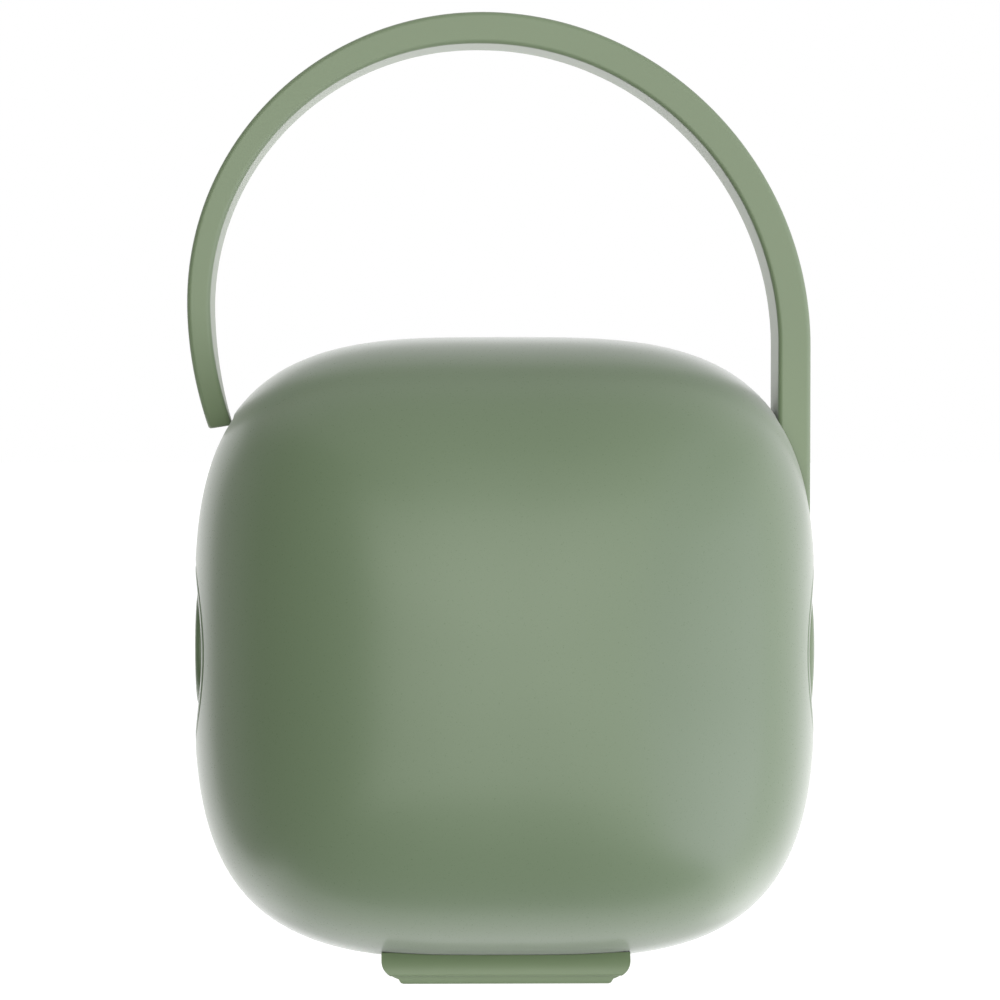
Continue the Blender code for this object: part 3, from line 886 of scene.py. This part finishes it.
# %%
# Pin
pin_half = hinge_length / 2 - 0.4 * MM
pin_radius = 0.45 * MM
pin_ease = 0.15 * MM
pin_profile = [(-pin_half, pin_radius - pin_ease), (pin_ease - pin_half, pin_radius),
               (pin_half - pin_ease, pin_radius), (pin_half, pin_radius - pin_ease)]
pin = tube("pin", pin_profile, hinge_height, count=48)
print("pin", round(2 * pin_half / MM, 1), "mm long")

# %% [markdown]
# The plastic is a satin moulding. Its colour wanders very slightly, and a fine sparked
# grain from the mould breaks the gloss. A flat colour with one roughness would do from
# afar, but it looks like a sample card when one comes near. The band is a soft rubbery
# plastic, yellower and more matt. A little sheen gives both the pale bloom that such
# plastic shows at its rims. The hinge block is harder, and the pin is drawn steel. All
# patterns read Object coordinates, so they stay with their piece when it moves.

# %%
# Satin finish
cloud_scale, cloud_detail = 38.0, 3.0
grain_detail = 4.0
noise_low, noise_high = 0.3, 0.7
roughness_spread = 0.02


def new_node(nodes, kind, values=None):
    """A shader node of one kind, with the inputs that are named set to their values."""
    node = nodes.new("ShaderNode" + kind)
    for name, value in (values or {}).items():
        node.inputs[name].default_value = value
    return node


def material(name, colour, roughness, grain_scale, grain_height, wander, metallic=0.0):
    """A satin finish: a slowly wandering colour, a rough fine grain and a fine bump."""
    made = bpy.data.materials.new(name)
    made.use_nodes = True
    nodes, links = made.node_tree.nodes, made.node_tree.links
    shader = nodes["Principled BSDF"]
    shader.inputs["Metallic"].default_value = metallic
    place = new_node(nodes, "TexCoord")
    cloud = new_node(nodes, "TexNoise", {"Scale": cloud_scale, "Detail": cloud_detail})
    tint = new_node(nodes, "MixRGB", {
        "Color1": (*[channel * (1.0 - wander) for channel in colour], 1.0),
        "Color2": (*[min(1.0, channel * (1.0 + wander)) for channel in colour], 1.0)})
    grain = new_node(nodes, "TexNoise", {"Scale": grain_scale, "Detail": grain_detail})
    spread = new_node(nodes, "MapRange", {
        "From Min": noise_low, "From Max": noise_high,
        "To Min": roughness - roughness_spread, "To Max": roughness + roughness_spread})
    bump = new_node(nodes, "Bump", {"Strength": 1.0, "Distance": grain_height})
    links.new(place.outputs["Object"], cloud.inputs["Vector"])
    links.new(place.outputs["Object"], grain.inputs["Vector"])
    links.new(cloud.outputs["Fac"], tint.inputs["Fac"])
    links.new(tint.outputs["Color"], shader.inputs["Base Color"])
    links.new(grain.outputs["Fac"], spread.inputs["Value"])
    links.new(spread.outputs["Result"], shader.inputs["Roughness"])
    links.new(grain.outputs["Fac"], bump.inputs["Height"])
    links.new(bump.outputs["Normal"], shader.inputs["Normal"])
    return made, shader


print("finish ready, roughness within", roughness_spread)

# %% [markdown]
# The shells and the studs share one sage green. The band and the hinge block are a touch
# yellower, because they are other plastics. Colours are linear values, as the shader
# takes them.

# %%
# Materials
sage = (0.165, 0.228, 0.134)
rubber_sage = (0.197, 0.260, 0.153)
block_sage = (0.181, 0.245, 0.136)
plain_ring = (0.300, 0.345, 0.270)
steel = (0.560, 0.565, 0.570)
shell_look, shell_shader = material("satin_sage", sage, 0.29, 6000.0, 0.0002 * MM, 0.02)
stud_look, stud_shader = material("satin_sage_stud", sage, 0.29, 6000.0, 0.0002 * MM, 0.02)
band_look, band_shader = material("soft_sage", rubber_sage, 0.45, 4500.0, 0.006 * MM, 0.04)
for shader, sheen_weight in ((shell_shader, 0.5), (stud_shader, 0.5), (band_shader, 0.3)):
    shader.inputs["Sheen Weight"].default_value = sheen_weight
    shader.inputs["Sheen Roughness"].default_value = 0.45
leaf_look, _ = material("block_sage", block_sage, 0.42, 5000.0, 0.004 * MM, 0.03)
ring_look, _ = material("plain_ring", plain_ring, 0.45, 5000.0, 0.004 * MM, 0.04)
steel_look, _ = material("drawn_steel", steel, 0.28, 9000.0, 0.002 * MM, 0.05, metallic=1.0)
print("materials", len(bpy.data.materials))

# %% [markdown]
# Each piece rides on the body of the solid that it stands for, hides that solid, and
# names its finish. Faces that meet at a shallow angle are shaded as one surface, and
# normals weighted by face area keep the flats flat beside their rounded edges.

# %%
# Ride and replace
def settle(piece, body, node, look, smooth_angle=32.0):
    """Give a piece its finish and shading, and let it stand for a node on its body."""
    piece.data.materials.clear()
    piece.data.materials.append(look)
    piece.data.shade_smooth()
    piece.data.set_sharp_from_angle(angle=math.radians(smooth_angle))
    even = piece.modifiers.new("even normals", "WEIGHTED_NORMAL")
    even.keep_sharp = True
    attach(piece, body)
    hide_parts(node)


for piece, body, node, look in (
    (front, "lid", "front_shell", shell_look),
    (rear, "case", "rear_shell", shell_look),
    (band, "strap", "handle_strap", band_look),
    (right_stud, "case", "right_button", stud_look),
    (left_stud, "case", "left_button", stud_look),
    (right_ring, "case", "right_button_ring", ring_look),
    (left_ring, "case", "left_button_ring", ring_look),
    (front_leaf, "lid", "front_hinge_leaf", leaf_look),
    (rear_leaf, "case", "rear_hinge_leaf", leaf_look),
    (pin, "case", "hinge_pin", steel_look),
):
    settle(piece, body, node, look)
print("pieces settled")

# %% [markdown]
# The box hangs in a white studio. Its light could be a few area lamps, but on a satin
# dome each lamp's outline would show. So the world is the light, as a coarse chart of
# the surroundings. In front of the box the brightest patch is a soft box behind the
# camera, a second one stands at the right and reaches low, and the left side is dark.
# Behind the box a pale backdrop lights its rims. Each row of the chart is a band of
# heights of the direction, and its numbers are the levels from the left to the right.
# The patches melt into each other, and the camera sees plain white.

# %%
# Light chart
chart_scale = 4.0
melt = 0.05
front_edges = (-0.70, -0.42, -0.10, 0.20, 0.47, 0.72)
front_chart = (
    (-0.75, -0.53, (0.0, 0.0, 0.1, 0.4, 1.0, 2.3, 2.3)),
    (-0.53, -0.10, (0.0, 0.0, 1.6, 2.0, 1.7, 2.0, 2.4)),
    (-0.10, 0.25, (0.0, 0.1, 2.4, 2.8, 2.1, 1.4, 1.6)),
    (0.25, 0.50, (0.0, 0.1, 1.6, 2.4, 1.8, 1.1, 0.9)),
    (0.50, 0.75, (0.0, 0.0, 0.4, 1.1, 0.9, 0.9, 0.4)),
    (0.75, 2.00, (0.5, 0.5, 0.5, 0.5, 0.5, 0.5, 0.5)),
)
back_edges = (-0.75, -0.35, 0.35, 0.75)
back_chart = (
    (-2.00, -0.75, (1.3, 1.3, 1.3, 1.3, 1.3)),
    (-0.75, -0.45, (0.1, 1.9, 0.8, 2.2, 1.4)),
    (-0.45, 0.00, (0.4, 1.4, 1.6, 1.5, 1.2)),
    (0.00, 0.40, (0.4, 1.2, 1.5, 0.9, 1.1)),
    (0.40, 0.75, (0.2, 0.5, 0.8, 0.8, 0.7)),
    (0.75, 2.00, (0.7, 0.7, 0.7, 0.7, 0.7)),
)
plain_tint = (1.0, 1.0, 1.0)
warm_tint = (0.98, 1.0, 0.93)
lilac_tint = (1.02, 0.95, 1.15)
print("light chart", len(front_chart), "rows in front,", len(back_chart), "behind")

# %% [markdown]
# In the world's nodes the texture coordinate gives the direction of a ray. Its X goes
# through a ramp for each row of the chart, and smooth windows on its Y and Z keep the
# row's light to its own half and its own band of heights.

# %%
# World nodes
world = bpy.data.worlds.new("studio")
bpy.context.scene.world = world
world.use_nodes = True
nodes, links = world.node_tree.nodes, world.node_tree.links
nodes.clear()
direction = new_node(nodes, "TexCoord")
parts = new_node(nodes, "SeparateXYZ")
links.new(direction.outputs["Generated"], parts.inputs["Vector"])


def step_on(axis, start, end):
    """A smooth step from nothing at start to one at end, along one axis of the direction."""
    node = new_node(nodes, "MapRange", {"From Min": start, "From Max": end})
    node.interpolation_type = "SMOOTHSTEP"
    links.new(parts.outputs[axis], node.inputs["Value"])
    return node.outputs["Result"]


def both(operation, first, second):
    """Two colours or numbers put together channel by channel."""
    node = new_node(nodes, "VectorMath")
    node.operation = operation
    links.new(first, node.inputs[0])
    links.new(second, node.inputs[1])
    return node.outputs["Vector"]


print("world steps ready")

# %%
# Chart rows
def chart_row(edges, levels, tints):
    """A ramp along X: each level holds between two edges, with an eased step at each."""
    share = new_node(nodes, "MapRange", {"From Min": -1.0})
    links.new(parts.outputs["X"], share.inputs["Value"])
    ramp = new_node(nodes, "ValToRGB")
    ramp.color_ramp.interpolation = "EASE"
    stops = [(0.0, 0)]
    for index, edge in enumerate(edges):
        stops += [((edge - melt + 1.0) / 2, index), ((edge + melt + 1.0) / 2, index + 1)]
    elements = ramp.color_ramp.elements
    while len(elements) < len(stops):
        elements.new(0.5)
    for element, (place, index) in zip(elements, stops):
        element.position = place
        element.color = (*[levels[index] * tone / chart_scale for tone in tints[index]], 1.0)
    links.new(share.outputs["Result"], ramp.inputs["Fac"])
    return ramp.outputs["Color"]


print("chart rows ready")

# %%
# World light
light = None
for chart, edges, towards, tints in (
    (front_chart, front_edges, -melt, [plain_tint] * 2 + [warm_tint] * 3 + [lilac_tint] * 2),
    (back_chart, back_edges, melt, [plain_tint] * 5),
):
    half = step_on("Y", -towards, towards)
    for low, high, levels in chart:
        patch = chart_row(edges, levels, tints)
        rise = step_on("Z", low - melt, low + melt)
        fall = step_on("Z", high + melt, high - melt)
        for window in (half, rise, fall):
            patch = both("MULTIPLY", patch, window)
        light = patch if light is None else both("ADD", light, patch)
path = new_node(nodes, "LightPath")
plain = new_node(nodes, "Background", {"Strength": chart_scale})
white = new_node(nodes, "Background", {"Color": (1.0, 1.0, 1.0, 1.0), "Strength": 1.0})
mix = new_node(nodes, "MixShader")
output = new_node(nodes, "OutputWorld")
links.new(light, plain.inputs["Color"])
links.new(path.outputs["Is Camera Ray"], mix.inputs["Fac"])
links.new(plain.outputs["Background"], mix.inputs[1])
links.new(white.outputs["Background"], mix.inputs[2])
links.new(mix.outputs["Shader"], output.inputs["Surface"])
print("world has", len(nodes), "nodes")

# %% [markdown]
# The floor is white too. The camera sees mostly its own white, with a share of its lit
# surface. The box is shown as if it hung in the air: its lid swings down past its foot,
# and a floor right under the foot would hide the open lid. So the floor lies lower than
# the lid reaches, and the box's faint shadow on it falls outside the picture.

# %%
# Floor
floor_reach = 4000.0 * MM
floor_level = -48.0 * MM
floor_glow = 1.465
floor_glow_share = 0.6
floor_grey = (0.9, 0.9, 0.9, 1.0)
floor_mesh = bpy.data.meshes.new("floor")
floor_mesh.from_pydata([(x * floor_reach, y * floor_reach, floor_level)
                        for x, y in ((-1, -1), (1, -1), (1, 1), (-1, 1))], [], [(0, 1, 2, 3)])
floor = bpy.data.objects.new("floor", floor_mesh)
bpy.context.scene.collection.objects.link(floor)
floor_look = bpy.data.materials.new("white_floor")
floor_look.use_nodes = True
nodes, links = floor_look.node_tree.nodes, floor_look.node_tree.links
nodes.clear()
surface = new_node(nodes, "BsdfDiffuse", {"Color": floor_grey})
glow = new_node(nodes, "Emission", {"Strength": floor_glow})
seen = new_node(nodes, "LightPath")
share = new_node(nodes, "Math")
share.operation = "MULTIPLY"
share.inputs[1].default_value = floor_glow_share
mix = new_node(nodes, "MixShader")
output = new_node(nodes, "OutputMaterial")
links.new(seen.outputs["Is Camera Ray"], share.inputs[0])
links.new(share.outputs["Value"], mix.inputs["Fac"])
links.new(surface.outputs["BSDF"], mix.inputs[1])
links.new(glow.outputs["Emission"], mix.inputs[2])
links.new(mix.outputs["Shader"], output.inputs["Surface"])
floor_mesh.materials.append(floor_look)
floor.visible_glossy = False
floor.visible_diffuse = False
floor.visible_shadow = False
bpy.context.scene.view_settings.view_transform = "Standard"
print("studio ready, floor", round(floor_level / MM), "mm")
